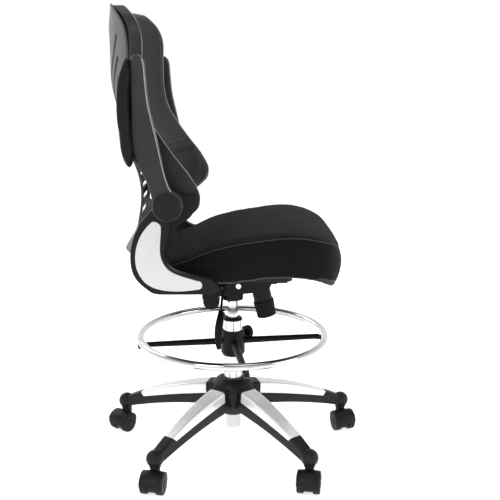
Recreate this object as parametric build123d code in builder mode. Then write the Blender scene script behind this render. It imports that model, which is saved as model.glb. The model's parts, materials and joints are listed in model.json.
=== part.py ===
"""Drafting chair: five-star base, gas lift, clamped foot ring, tilt mechanism, mesh back, flip-up arms.

Millimetres.  +X is the way the sitter faces, +Y the sitter's left, +Z up.
The origin is on the floor, on the axis of the gas lift.
"""
import os
from math import cos, radians, sin, tan

from build123d import *

os.makedirs("parts", exist_ok=True)

UPWARD = (Align.CENTER, Align.CENTER, Align.MIN)     # a solid that stands on its location

# ---------------------------------------------------------------- driving dimensions
# five-star base
CASTER_CIRCLE = 310.0            # radius on which the casters swivel
LEG_ANGLES = [18, 90, 162, 234, 306]
CASTER_HEADINGS = [288, 40, 233, 258, 261]   # way each caster trails, degrees from +X
HUB_BOTTOM = 90.0
HUB_TOP = 188.0
HUB_RADIUS = 54.0
SOCKET_RADIUS = 21.0             # round end of each leg
SOCKET_HEIGHT = 80.0             # centre of that round end
COVER_WALL = 3.0

# casters
WHEEL_RADIUS = 25.0
WHEEL_WIDTH = 17.0
WHEEL_GAP = 21.0                 # space between the twin wheels
TRAIL = 18.0                     # axle's offset from the swivel axis
STEM_RADIUS = 5.5
AXLE_RADIUS = 4.0
RUNNING = 0.05                   # radial clearance of every running fit

# gas lift
TUBE_RADIUS = 25.0
TUBE_BORE = 21.0
TUBE_TOP = 343.0
TUBE_END_RADIUS = 19.5           # narrow lower end, below the hub
TUBE_BOTTOM = 50.0
LIFT_RADIUS = 14.0
LIFT_BORE = 11.0
LIFT_TOP = 438.0
ROD_RADIUS = 5.0

# foot ring
RING_RADIUS = 237.0
RING_TUBE = 9.3
RING_HEIGHT = 301.0
SPOKE_HEIGHT = 285.0
SPOKE_TURN = 8.0                 # the cross of spokes stands this far off the X axis
SPOKE_END = 245.0
TONGUE_START = 219.0             # the spoke's flat end begins here
COLLAR_RADIUS = 30.0
COLLAR_BOTTOM = 251.0
COLLAR_TOP = 314.0
SLEEVE_RADIUS = 27.5
CLAMP_ANGLE = 40.0
CLAMP_HEIGHT = 298.0
CLAMP_SCREW = 3.0

# tilt mechanism
PIN_X = 15.0
PIN_Z = 446.0
PIN_RADIUS = 6.5
MECH_HALF = 52.0                 # half width of the housing
MECH_FLOOR = 430.0
MECH_TOP = 455.0
MECH_FRONT = 98.0
MECH_REAR = -76.0
MECH_BOTTOM = 398.0
PLATE_BOTTOM = 458.0
PLATE_TOP = 464.0
TILT_CLEAR = 14.5                # slope of the housing's rear top, degrees
KNOB_TILT = 13.0
KNOB_X = 70.0
KNOB_RADIUS = 26.5
KNOB_LENGTH = 42.0
NECK_RADIUS = 23.5
NECK_LENGTH = 36.0
SPRING_TURNS = 5
SPRING_WIRE = 2.2
SPRING_RADIUS = 13.5
SPRING_LENGTH = 28.0
LEVER_X = -24.0
LEVER_Z = 437.0

# seat
SEAT_FRONT = 266.0
SEAT_REAR = -200.0
SEAT_HALF = 230.0
SEAT_UNDER = 494.0               # underside of the cushion and its pan, at the rear
SEAT_LIP = 471.0                 # underside at the front edge
PAN_THICK = 10.0
BOSS_TOP = 520.0                 # top of the boss inside the pan
FOOT_BOTTOM = SEAT_UNDER - 5     # the brackets' feet lie against the pan
BOLT_RADIUS = 4.0
BOLT_HEAD = 4.0

# side brackets, arms
PIVOT_X = -134.5
PIVOT_Z = 690.0
BRACKET_IN = 262.0               # inner face, from the middle plane
BRACKET_OUT = 284.0
ARM_IN = 285.5
ARM_OUT = 315.5
EYE_RADIUS = 33.0
CAP_RADIUS = 29.5
ARM_PIN_RADIUS = 6.0

# back
BACK_HALF = 249.0
FRAME_BAND = 13.0
FRAME_TOP = 1109.0               # top of the front frame
BACK_BOTTOM = 648.0
PANEL_TOP = 768.0                # top of the padded lumbar panel
FACE_HALF = 243.0                # the side edges of the sitting face are this far from the middle plane
SHELL_WALL = 5.0


def finish(builder, name):
    """Label a sub-part and write its STEP file."""
    builder.part.label = name
    export_step(builder.part, f"parts/{name}.step")
    return builder.part


def side_plane(y):
    """Sketch plane facing the sitter's right, at the given Y: its x is +X and its y is +Z."""
    return Plane(origin=(0, y, 0), x_dir=(1, 0, 0), z_dir=(0, -1, 0))


# ---------------------------------------------------------------- star base and leg covers
LEG_TOP = [(40, 172), (180, 144), (300, 97)]
LEG_SEAM = [(40, 144), (180, 120), (300, 92)]
LEG_UNDER = [(40, 113), (180, 97), (300, 70)]
COVER_START = 64.0
COVER_END_TOP = 268.0
COVER_END_LOW = 236.0


def leg_block(upper, lower, half_root, half_end):
    """One leg along +X, between two arched side lines, tapering in plan."""
    with BuildPart() as block:
        with BuildSketch(side_plane(0)):
            with BuildLine():
                top = ThreePointArc(*upper)
                low = ThreePointArc(*lower)
                Line(top @ 0, low @ 0)
                Line(top @ 1, low @ 1)
            make_face()
        extrude(amount=half_root, both=True)
        with BuildSketch(Plane.XY):
            Polygon((40, half_root), (40, -half_root), (300, -half_end), (300, half_end), align=None)
        extrude(amount=220, mode=Mode.INTERSECT)
    return block.part


def shifted(points, drop):
    return [(x, z - drop) for x, z in points]


leg_low = leg_block(LEG_SEAM, LEG_UNDER, 25, 15)
leg_high = leg_block(LEG_TOP, LEG_SEAM, 25, 15)
leg_core = leg_block(shifted(LEG_TOP, COVER_WALL), LEG_SEAM, 25 - COVER_WALL, 15 - COVER_WALL)

with BuildPart() as cover_length:
    with BuildSketch(side_plane(0)):
        with BuildLine():
            Polyline((COVER_START + 6, 200), (COVER_START, 100), (COVER_END_LOW - 6, 80))
            ThreePointArc((COVER_END_LOW - 6, 80), (COVER_END_LOW + 14, 104), (COVER_END_TOP + 8, 130))
            Polyline((COVER_END_TOP + 8, 130), (COVER_END_TOP + 8, 200), (COVER_START + 6, 200))
        make_face()
    extrude(amount=40, both=True)

with BuildPart() as leg_cover:
    add(leg_high)
    fillet(leg_cover.edges().filter_by(lambda e: e.center().Z > 120 and abs(e.center().Y) > 10
                                       and e.length > 200).group_by(Axis.Z)[-1], radius=7)
    add(cover_length.part, mode=Mode.INTERSECT)
    add(leg_core, mode=Mode.SUBTRACT)

with BuildPart() as leg_end:
    add(leg_high)
    fillet(leg_end.edges().filter_by(lambda e: e.center().Z > 120 and abs(e.center().Y) > 10
                                     and e.length > 200).group_by(Axis.Z)[-1], radius=7)
    add(cover_length.part, mode=Mode.SUBTRACT)

with BuildPart() as star_base:
    with BuildSketch(Plane.XZ):
        with BuildLine():
            Polyline((0, HUB_BOTTOM), (30, HUB_BOTTOM), (HUB_RADIUS - 6, 118), (HUB_RADIUS, 140))
            ThreePointArc((HUB_RADIUS, 140), (HUB_RADIUS - 2, 172), (HUB_RADIUS - 22, HUB_TOP))
            Polyline((HUB_RADIUS - 22, HUB_TOP), (0, HUB_TOP), (0, HUB_BOTTOM))
        make_face()
    revolve(axis=Axis.Z)
    with PolarLocations(0, 5, start_angle=LEG_ANGLES[0]):
        add(leg_low)
        add(leg_core)
        add(leg_end.part)
    with PolarLocations(CASTER_CIRCLE, 5, start_angle=LEG_ANGLES[0]):
        with Locations((0, 0, SOCKET_HEIGHT)):
            Sphere(SOCKET_RADIUS)
        with Locations((0, 0, SOCKET_HEIGHT - SOCKET_RADIUS + 1)):
            Cylinder(14, 20, align=UPWARD)
    # tapered seat for the gas lift's tube
    with BuildSketch(Plane.XZ):
        Polygon((0, HUB_TOP + 1), (TUBE_RADIUS, HUB_TOP + 1), (TUBE_RADIUS, 176), (22.5, 100),
                (22.5, HUB_BOTTOM - 1), (0, HUB_BOTTOM - 1), align=None)
    revolve(axis=Axis.Z, mode=Mode.SUBTRACT)
    # blind sockets for the caster stems
    with PolarLocations(CASTER_CIRCLE, 5, start_angle=LEG_ANGLES[0]):
        with Locations((0, 0, 40)):
            Cylinder(STEM_RADIUS + RUNNING, 53, align=UPWARD,
                     mode=Mode.SUBTRACT)
finish(star_base, "star_base")

with BuildPart() as leg_covers:
    with PolarLocations(0, 5, start_angle=LEG_ANGLES[0]):
        add(leg_cover.part)
    Cylinder(HUB_RADIUS + 0.01, 400, mode=Mode.SUBTRACT)
    add(star_base.part, mode=Mode.SUBTRACT)
finish(leg_covers, "leg_covers")

# ---------------------------------------------------------------- casters
# Built with the swivel axis on Z at the origin and the axle trailing along +X.
with BuildPart() as caster_hood:
    with BuildSketch(side_plane(0)):
        with Locations((TRAIL, WHEEL_RADIUS)):
            Circle(21)
        with BuildLine():
            Polyline((-9, 57), (9, 57), (12, 48), (TRAIL + 12, 42), (TRAIL, 20), (0, 30), (-9, 46), (-9, 57))
        make_face()
    extrude(amount=WHEEL_GAP / 2 - 0.6, both=True)
    with BuildSketch(side_plane(0)):
        with BuildLine():
            rim_out = CenterArc((TRAIL, WHEEL_RADIUS), 29.5, 18, 140)
            rim_in = CenterArc((TRAIL, WHEEL_RADIUS), 26.6, 18, 140)
            Line(rim_out @ 0, rim_in @ 0)
            Line(rim_out @ 1, rim_in @ 1)
        make_face()
    extrude(amount=27, both=True)
    with Locations((0, 0, 50)):
        Cylinder(11, 8, align=UPWARD)
    with BuildSketch(side_plane(0)):
        with Locations((TRAIL, WHEEL_RADIUS)):
            Circle(AXLE_RADIUS)
    extrude(amount=30, both=True, mode=Mode.SUBTRACT)
    with Locations((0, 0, 36)):
        Cylinder(STEM_RADIUS, 30, align=UPWARD, mode=Mode.SUBTRACT)

with BuildPart() as caster_stem:
    with Locations((0, 0, 36)):
        Cylinder(STEM_RADIUS, 56, align=UPWARD)
    chamfer(caster_stem.edges().group_by(Axis.Z)[-1], 1)

with BuildPart() as caster_axle:
    with BuildSketch(side_plane(0)):
        with Locations((TRAIL, WHEEL_RADIUS)):
            Circle(AXLE_RADIUS)
    extrude(amount=WHEEL_GAP / 2 + WHEEL_WIDTH + 0.6, both=True)

with BuildPart() as caster_wheels:
    for face in (WHEEL_GAP / 2, -WHEEL_GAP / 2 - WHEEL_WIDTH):
        with BuildSketch(side_plane(-face)):
            with Locations((TRAIL, WHEEL_RADIUS)):
                Circle(WHEEL_RADIUS)
                Circle(AXLE_RADIUS + RUNNING, mode=Mode.SUBTRACT)
        extrude(amount=WHEEL_WIDTH)
    fillet(caster_wheels.edges().filter_by(GeomType.CIRCLE).group_by(SortBy.RADIUS)[-1], radius=3)

CASTER_PIECES = {"hood": caster_hood, "stem": caster_stem, "axle": caster_axle, "wheels": caster_wheels}
for number, (leg_angle, heading) in enumerate(zip(LEG_ANGLES, CASTER_HEADINGS), start=1):
    spot = (CASTER_CIRCLE * cos(radians(leg_angle)), CASTER_CIRCLE * sin(radians(leg_angle)), 0)
    for piece_name, shape in CASTER_PIECES.items():
        with BuildPart() as caster_piece:
            with Locations(Location(spot, (0, 0, heading))):
                add(shape.part)
        finish(caster_piece, f"caster_{number}_{piece_name}")

# ---------------------------------------------------------------- gas lift
with BuildPart() as column_tube:
    with BuildSketch(Plane.XZ):
        Polygon((TUBE_BORE, TUBE_TOP), (TUBE_RADIUS, TUBE_TOP), (TUBE_RADIUS, 176), (22.5, 100), (22.5, 84),
                (TUBE_END_RADIUS, 82), (TUBE_END_RADIUS, TUBE_BOTTOM), (16, TUBE_BOTTOM), (16, 55),
                (ROD_RADIUS + RUNNING, 55), (ROD_RADIUS + RUNNING, 61), (16, 61), (16, 94), (TUBE_BORE, 100),
                align=None)
    revolve(axis=Axis.Z)
finish(column_tube, "column_tube")

with BuildPart() as column_bush:
    with BuildSketch(Plane.XZ):
        Polygon((LIFT_RADIUS + RUNNING, TUBE_TOP + 7), (20, TUBE_TOP + 7), (24, TUBE_TOP + 4), (24, TUBE_TOP),
                (TUBE_BORE, TUBE_TOP), (TUBE_BORE, 283), (LIFT_RADIUS + RUNNING, 283), align=None)
    revolve(axis=Axis.Z)
finish(column_bush, "column_bush")

with BuildPart() as thrust_bearing:
    with Locations((0, 0, 61)):
        Cylinder(14, 6, align=UPWARD)
        Cylinder(ROD_RADIUS + RUNNING, 6, align=UPWARD, mode=Mode.SUBTRACT)
finish(thrust_bearing, "thrust_bearing")

with BuildPart() as piston_rod:
    with Locations((0, 0, TUBE_BOTTOM + 1)):
        Cylinder(ROD_RADIUS, 330, align=UPWARD)
    with Locations((0, 0, 67)):
        Cylinder(9, 5, align=UPWARD)
    with Locations((0, 0, 378)):
        Cylinder(LIFT_BORE - RUNNING, 14, align=UPWARD)
    with Locations((0, 0, 52)):
        Cylinder(ROD_RADIUS + 1, 1.6, align=UPWARD, mode=Mode.SUBTRACT)
        Cylinder(ROD_RADIUS - 1, 1.6, align=UPWARD)
finish(piston_rod, "piston_rod")

with BuildPart() as rod_clip:
    with Locations((0, 0, 52)):
        Cylinder(9.5, 1.6, align=UPWARD)
        Cylinder(ROD_RADIUS - 1, 1.6, align=UPWARD, mode=Mode.SUBTRACT)
        with Locations((7, 0)):
            Box(14, 5, 1.6, align=UPWARD, mode=Mode.SUBTRACT)
finish(rod_clip, "rod_clip")

with BuildPart() as gas_cylinder:
    with BuildSketch(Plane.XZ):
        Polygon((ROD_RADIUS + RUNNING, 74), (LIFT_RADIUS - 1, 74), (LIFT_RADIUS, 76), (LIFT_RADIUS, LIFT_TOP),
                (3 + RUNNING, LIFT_TOP), (3 + RUNNING, 410), (LIFT_BORE, 410), (LIFT_BORE, 84),
                (ROD_RADIUS + RUNNING, 84), align=None)
    revolve(axis=Axis.Z)
finish(gas_cylinder, "gas_cylinder")

with BuildPart() as release_pin:
    with Locations((0, 0, 414)):
        Cylinder(3, LIFT_TOP + 5 - 414, align=UPWARD)
    chamfer(release_pin.edges().group_by(Axis.Z)[-1], 0.8)
finish(release_pin, "release_pin")

# ---------------------------------------------------------------- foot ring
with BuildPart() as ring_sleeve:
    with Locations((0, 0, COLLAR_BOTTOM - 2)):
        Cylinder(SLEEVE_RADIUS, COLLAR_TOP - COLLAR_BOTTOM + 4, align=UPWARD)
        Cylinder(TUBE_RADIUS + RUNNING, 100, align=UPWARD, mode=Mode.SUBTRACT)
finish(ring_sleeve, "ring_sleeve")

with BuildPart() as ring_screws:
    with PolarLocations(RING_RADIUS, 4, start_angle=SPOKE_TURN):
        with Locations((0, 0, SPOKE_HEIGHT - 10)):
            Cylinder(6, 3.6, align=UPWARD)
            Cylinder(2.5, 22, align=UPWARD)
finish(ring_screws, "ring_screws")

with BuildPart() as foot_ring:
    with Locations((0, 0, RING_HEIGHT)):
        Torus(RING_RADIUS, RING_TUBE)
    add(ring_screws.part, mode=Mode.SUBTRACT)
finish(foot_ring, "foot_ring")

# The clamp knob's screw goes through the collar and presses on the sleeve.
clamp_axis = Plane(origin=(0, 0, CLAMP_HEIGHT),
                   x_dir=(-sin(radians(CLAMP_ANGLE)), cos(radians(CLAMP_ANGLE)), 0),
                   z_dir=(cos(radians(CLAMP_ANGLE)), sin(radians(CLAMP_ANGLE)), 0))

# One spoke along +X: an oval bar that ends in a flat tongue under the ring.
with BuildPart() as spoke:
    with BuildSketch(Plane(origin=(COLLAR_RADIUS - 1.5, 0, SPOKE_HEIGHT), x_dir=(0, 1, 0), z_dir=(1, 0, 0))):
        Ellipse(9.5, 8.5)
    with BuildSketch(Plane(origin=(TONGUE_START + 8, 0, SPOKE_HEIGHT), x_dir=(0, 1, 0), z_dir=(1, 0, 0))):
        Ellipse(8, 6.5)
    loft()
    with Locations((TONGUE_START, 0, SPOKE_HEIGHT - 2)):
        Box(SPOKE_END - TONGUE_START, 14, 8.6, align=(Align.MIN, Align.CENTER, Align.CENTER))

with BuildPart() as ring_hub:
    with BuildSketch(Plane.XZ):
        Polygon((SLEEVE_RADIUS + RUNNING, COLLAR_BOTTOM), (COLLAR_RADIUS - 2, COLLAR_BOTTOM),
                (COLLAR_RADIUS + 1, COLLAR_BOTTOM + 5), (COLLAR_RADIUS - 0.5, COLLAR_TOP),
                (SLEEVE_RADIUS + RUNNING, COLLAR_TOP), align=None)
    revolve(axis=Axis.Z)
    with PolarLocations(0, 4, start_angle=SPOKE_TURN):
        add(spoke.part)
    with Locations((0, 0, COLLAR_BOTTOM - 1)):
        Cylinder(SLEEVE_RADIUS + RUNNING, 120, align=UPWARD, mode=Mode.SUBTRACT)
    add(ring_screws.part, mode=Mode.SUBTRACT)
    with BuildSketch(clamp_axis):
        Circle(CLAMP_SCREW + RUNNING)
    extrude(amount=60, mode=Mode.SUBTRACT)
finish(ring_hub, "ring_hub")

with BuildPart() as ring_clamp_knob:
    with BuildSketch(clamp_axis.offset(SLEEVE_RADIUS + 0.5)):
        Circle(CLAMP_SCREW)
    extrude(amount=14)
    with BuildSketch(clamp_axis.offset(38)):
        Circle(8)
    extrude(amount=6)
    with BuildSketch(clamp_axis.offset(42)):
        Circle(17)
        with PolarLocations(17.6, 14):
            Circle(2, mode=Mode.SUBTRACT)
    extrude(amount=14)
finish(ring_clamp_knob, "ring_clamp_knob")

# ---------------------------------------------------------------- tilt mechanism
KNOB_SLOPE = radians(KNOB_TILT)
knob_plane = Plane(origin=(KNOB_X, 0, MECH_FLOOR), x_dir=(cos(KNOB_SLOPE), 0, sin(KNOB_SLOPE)),
                   z_dir=(sin(KNOB_SLOPE), 0, -cos(KNOB_SLOPE)))

with BuildPart() as mech_housing:
    # channel with sloping rear top, so that the seat plate can tip back over it
    rear_top = MECH_TOP - (PIN_X - MECH_REAR) * tan(radians(TILT_CLEAR))
    with BuildSketch(side_plane(0)):
        Polygon((MECH_REAR, rear_top - 22), (MECH_REAR, rear_top), (PIN_X, MECH_TOP), (MECH_FRONT, MECH_TOP),
                (MECH_FRONT, MECH_TOP - 5), (MECH_FRONT - 10, MECH_FLOOR), (MECH_REAR + 20, MECH_FLOOR - 14),
                align=None)
    extrude(amount=MECH_HALF, both=True)
    # socket for the gas lift, and the round nose at the rear
    with Locations((0, 0, MECH_BOTTOM)):
        Cylinder(27, 40, align=UPWARD)
    with BuildSketch(side_plane(0)):
        with Locations((-54, 399)):
            Circle(21)
    extrude(amount=32, both=True)
    # hollow of the channel
    with BuildSketch(side_plane(0)):
        Polygon((MECH_REAR + 8, 460), (MECH_REAR + 8, rear_top - 12), (-34, MECH_FLOOR),
                (MECH_FRONT - 14, MECH_FLOOR + 4), (MECH_FRONT - 5, 460), align=None)
    extrude(amount=MECH_HALF - 4, both=True, mode=Mode.SUBTRACT)
    # the neck that holds the tension spring
    with BuildSketch(knob_plane.offset(-4)):
        Circle(NECK_RADIUS)
    extrude(amount=NECK_LENGTH + 4)
    with BuildSketch(knob_plane.offset(-8)):
        Circle(NECK_RADIUS - 3.5)
    extrude(amount=NECK_LENGTH + 8 - 4, mode=Mode.SUBTRACT)
    with BuildSketch(knob_plane):
        Circle(4 + RUNNING)
    extrude(amount=NECK_LENGTH + 10, mode=Mode.SUBTRACT)
    # bores: gas lift, tilt pin, lever
    Cylinder(LIFT_RADIUS, 460, align=UPWARD, mode=Mode.SUBTRACT)
    with BuildSketch(side_plane(0)):
        with Locations((PIN_X, PIN_Z)):
            Circle(PIN_RADIUS)
    extrude(amount=MECH_HALF + 5, both=True, mode=Mode.SUBTRACT)
    with BuildSketch(side_plane(-35)):
        with Locations((LEVER_X, LEVER_Z)):
            Circle(7.5)
    extrude(amount=MECH_HALF, mode=Mode.SUBTRACT)
finish(mech_housing, "mech_housing")

with BuildPart() as tilt_pin:
    with BuildSketch(side_plane(0)):
        with Locations((PIN_X, PIN_Z)):
            Circle(PIN_RADIUS)
    extrude(amount=MECH_HALF + 8, both=True)
finish(tilt_pin, "tilt_pin")

with BuildPart() as tension_spring:
    coil = Helix(pitch=SPRING_LENGTH / SPRING_TURNS, height=SPRING_LENGTH, radius=SPRING_RADIUS)
    coil = knob_plane.location * coil
    with BuildSketch(Plane(origin=coil @ 0, z_dir=coil % 0)):
        Circle(SPRING_WIRE)
    sweep(path=coil, is_frenet=True)
finish(tension_spring, "tension_spring")

with BuildPart() as tension_knob:
    with BuildSketch(knob_plane.offset(NECK_LENGTH + 0.6)):
        Circle(KNOB_RADIUS)
        with PolarLocations(KNOB_RADIUS + 1.2, 24):
            Circle(2.2, mode=Mode.SUBTRACT)
    extrude(amount=KNOB_LENGTH, taper=3)
    with BuildSketch(knob_plane.offset(NECK_LENGTH)):
        Circle(4)
    extrude(amount=12, mode=Mode.SUBTRACT)
finish(tension_knob, "tension_knob")

with BuildPart() as tension_bolt:
    with BuildSketch(knob_plane.offset(-6)):
        Circle(10)
    extrude(amount=4)
    with BuildSketch(knob_plane.offset(-4)):
        Circle(4)
    extrude(amount=NECK_LENGTH + 14)
finish(tension_bolt, "tension_bolt")

# Height lever: it rocks in the housing's right wall and its inner end presses the release pin.
LEVER_POINTS = [(0, 0, LIFT_TOP + 8.4), (-14, -18, LIFT_TOP + 6.5), (LEVER_X, -40, LEVER_Z),
                (LEVER_X, -66, LEVER_Z - 1), (LEVER_X - 3, -152, 405)]
with BuildPart() as lever_rod:
    with BuildLine() as lever_line:
        FilletPolyline(*LEVER_POINTS, radius=8)
    with BuildSketch(Plane(origin=lever_line.line @ 0, z_dir=lever_line.line % 0)):
        Circle(3)
    sweep()
finish(lever_rod, "lever_rod")

with BuildPart() as lever_paddle:
    with BuildLine() as paddle_line:
        paddle_curve = Spline((LEVER_X - 3, -146, 407), (LEVER_X - 6, -172, 385), (LEVER_X - 9, -186, 355),
                              (LEVER_X - 6, -196, 330))
    for share, half_x, half_y in ((0, 6, 6), (0.3, 9, 5), (0.75, 8, 3.5), (1, 5, 2.2)):
        with BuildSketch(Plane(origin=paddle_curve @ share, x_dir=(1, 0, 0), z_dir=paddle_curve % share)):
            Ellipse(half_x, half_y)
    loft()
    add(lever_rod.part, mode=Mode.SUBTRACT)
finish(lever_paddle, "lever_paddle")

# ---------------------------------------------------------------- seat plate, pan, cushion
PLATE_BOLTS = [(-64, 50), (-64, -50), (104, 64), (104, -64)]
with BuildPart() as mech_top_plate:
    with BuildSketch(Plane.XY.offset(PLATE_BOTTOM)):
        Polygon((-88, 66), (-88, -66), (40, -80), (136, -74), (136, 74), (40, 80), align=None)
    extrude(amount=PLATE_TOP - PLATE_BOTTOM)
    # ears that hang from the plate and turn on the tilt pin
    for ear_y in (MECH_HALF + 4, -MECH_HALF - 0.5):
        with BuildSketch(side_plane(ear_y)):
            with BuildLine():
                Polyline((PIN_X - 11, PIN_Z), (PIN_X - 14, PLATE_BOTTOM + 1), (PIN_X + 14, PLATE_BOTTOM + 1),
                         (PIN_X + 11, PIN_Z))
                ThreePointArc((PIN_X + 11, PIN_Z), (PIN_X, PIN_Z - 11), (PIN_X - 11, PIN_Z))
            make_face()
        extrude(amount=3.5)
    with BuildSketch(side_plane(0)):
        with Locations((PIN_X, PIN_Z)):
            Circle(PIN_RADIUS + RUNNING)
    extrude(amount=MECH_HALF + 10, both=True, mode=Mode.SUBTRACT)
    with Locations(*PLATE_BOLTS):
        Cylinder(BOLT_RADIUS, 500, align=UPWARD, mode=Mode.SUBTRACT)
finish(mech_top_plate, "mech_top_plate")

def seat_underside(rear, front, rise=0.0):
    """Side view of the cushion's underside: flat at the rear, arched under the thighs."""
    flat_end = (-20, SEAT_UNDER + rise)
    arch = [(50, 502), (110, 508), (180, 503), (225, 488), (front, SEAT_LIP)]
    Line((rear, SEAT_UNDER + rise), flat_end)
    Spline(flat_end, *[(x, z + rise) for x, z in arch], tangents=[(1, 0), (0.88, -0.48)])


# the pan is let into the cushion from below
with BuildPart() as pan_blank:
    with BuildSketch(side_plane(0)):
        with BuildLine():
            seat_underside(SEAT_REAR, SEAT_FRONT - 10)
            seat_underside(SEAT_REAR, SEAT_FRONT - 10, PAN_THICK)
            Line((SEAT_REAR, SEAT_UNDER), (SEAT_REAR, SEAT_UNDER + PAN_THICK))
            Line((SEAT_FRONT - 10, SEAT_LIP), (SEAT_FRONT - 10, SEAT_LIP + PAN_THICK))
        make_face()
    extrude(amount=SEAT_HALF - 8, both=True)
    with BuildSketch(Plane.XY.offset(400)):
        with Locations(((SEAT_FRONT + SEAT_REAR) / 2, 0)):
            RectangleRounded(SEAT_FRONT - SEAT_REAR - 44, 2 * SEAT_HALF - 36, 70)
    extrude(amount=200, mode=Mode.INTERSECT)
    # boss under the pan that the mechanism's plate is bolted to
    with BuildSketch(Plane.XY.offset(PLATE_TOP)):
        with Locations((20, 0)):
            RectangleRounded(256, 170, 20)
    extrude(amount=BOSS_TOP - PLATE_TOP)

FOOT_BOLTS = [(x, side * 194) for side in (1, -1) for x in (-140, -98, -56)]
BOLT_GROUPS = [(PLATE_BOLTS, PLATE_BOTTOM - BOLT_HEAD, 40), (FOOT_BOLTS, FOOT_BOTTOM - BOLT_HEAD, 17)]
with BuildPart() as seat_bolts:
    for spots, head_bottom, length in BOLT_GROUPS:
        with Locations(*[(x, y, head_bottom) for x, y in spots]):
            Cylinder(6.5, BOLT_HEAD, align=UPWARD)
            Cylinder(BOLT_RADIUS, length, align=UPWARD)
finish(seat_bolts, "seat_bolts")

with BuildPart() as seat_cushion:
    with BuildSketch(side_plane(0)):
        with BuildLine():
            seat_underside(SEAT_REAR, SEAT_FRONT - 10)
            Spline((SEAT_REAR, 530), (-112, 550), (-46, 577), (40, 598), (100, 606), (140, 608),
                   (185, 604), (225, 591), (254, 565), (SEAT_FRONT, 525), (SEAT_FRONT - 10, SEAT_LIP))
            Line((SEAT_REAR, SEAT_UNDER), (SEAT_REAR, 530))
        make_face()
    extrude(amount=SEAT_HALF, both=True)
    with BuildSketch(Plane.XY.offset(400)):
        with BuildLine():
            Polyline((SEAT_REAR, 130), (SEAT_REAR, -130))
            ThreePointArc((SEAT_REAR, -130), (SEAT_REAR + 17, -182), (SEAT_REAR + 60, -212))
            Spline((SEAT_REAR + 60, -212), (40, -SEAT_HALF + 3), (150, -SEAT_HALF),
                   (SEAT_FRONT - 45, -SEAT_HALF + 20), (SEAT_FRONT - 6, -140), (SEAT_FRONT, 0),
                   (SEAT_FRONT - 6, 140), (SEAT_FRONT - 45, SEAT_HALF - 20), (150, SEAT_HALF),
                   (40, SEAT_HALF - 3), (SEAT_REAR + 60, 212))
            ThreePointArc((SEAT_REAR + 60, 212), (SEAT_REAR + 17, 182), (SEAT_REAR, 130))
        make_face()
    extrude(amount=300, mode=Mode.INTERSECT)
    add(pan_blank.part, mode=Mode.SUBTRACT)
    add(seat_bolts.part, mode=Mode.SUBTRACT)
finish(seat_cushion, "seat_cushion")

with BuildPart() as seat_pan:
    add(pan_blank.part)
    add(seat_bolts.part, mode=Mode.SUBTRACT)
finish(seat_pan, "seat_pan")

# ---------------------------------------------------------------- side brackets
# screws that hold the back frame's cheeks to the brackets' gussets
with BuildPart() as back_screws:
    for side in (1, -1):
        with BuildSketch(side_plane(side * (BACK_HALF - 14))):
            with Locations((-128, 668), (-112, 690)):
                Circle(5)
        extrude(amount=-side * 3.9)
        with BuildSketch(side_plane(side * (BACK_HALF - 14))):
            with Locations((-128, 668), (-112, 690)):
                Circle(2.5)
        extrude(amount=-side * 24)
finish(back_screws, "back_screws")

RIM_OUTER = [(-165, 685), (-196, 648), (-214, 610), (-220, 562), (-209, 524), (-182, 498),
             (-147, FOOT_BOTTOM)]
RIM_INNER = [(-135, 655), (-141, 608), (-146, 580), (-137, 553), (-110, 537), (-60, 526)]
INSERT_REAR = [(-172, 652), (-197, 622), (-210, 580), (-207, 544), (-186, 512), (-147, 497), (-75, 499)]
INSERT_FRONT = [(-151, 640), (-153, 610), (-152, 572), (-139, 548), (-113, 533), (-75, 521)]
GUSSET_FRONT = [(-75, 706), (-77, 682), (-92, 656), (-114, 641), (-121, 630), (-120, 618), (-127, 606)]


def bracket_outline():
    """Side view of the C-shaped bracket, from the pivot down to the foot under the seat."""
    with BuildLine() as outline:
        outer = Spline(*RIM_OUTER, tangents=[(-0.65, -0.76), (1, 0)])
        foot = Polyline((-147, FOOT_BOTTOM), (-44, FOOT_BOTTOM), (-24, 499), (-32, 512))
        toe = ThreePointArc((-32, 512), (-42, 521), (-60, 526))
        inner = Spline(*RIM_INNER)
        Line(inner @ 0, (PIVOT_X + 12, PIVOT_Z))
        Line((PIVOT_X + 12, PIVOT_Z), outer @ 0)
    return outline.line


def insert_outline():
    """Side view of the bright insert in the bracket."""
    with BuildLine() as outline:
        rear = Spline(*INSERT_REAR)
        front = Spline(*INSERT_FRONT)
        ThreePointArc(rear @ 1, (-63, 511), front @ 1)
        ThreePointArc(rear @ 0, (-160, 652), front @ 0)
    return outline.line


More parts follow.
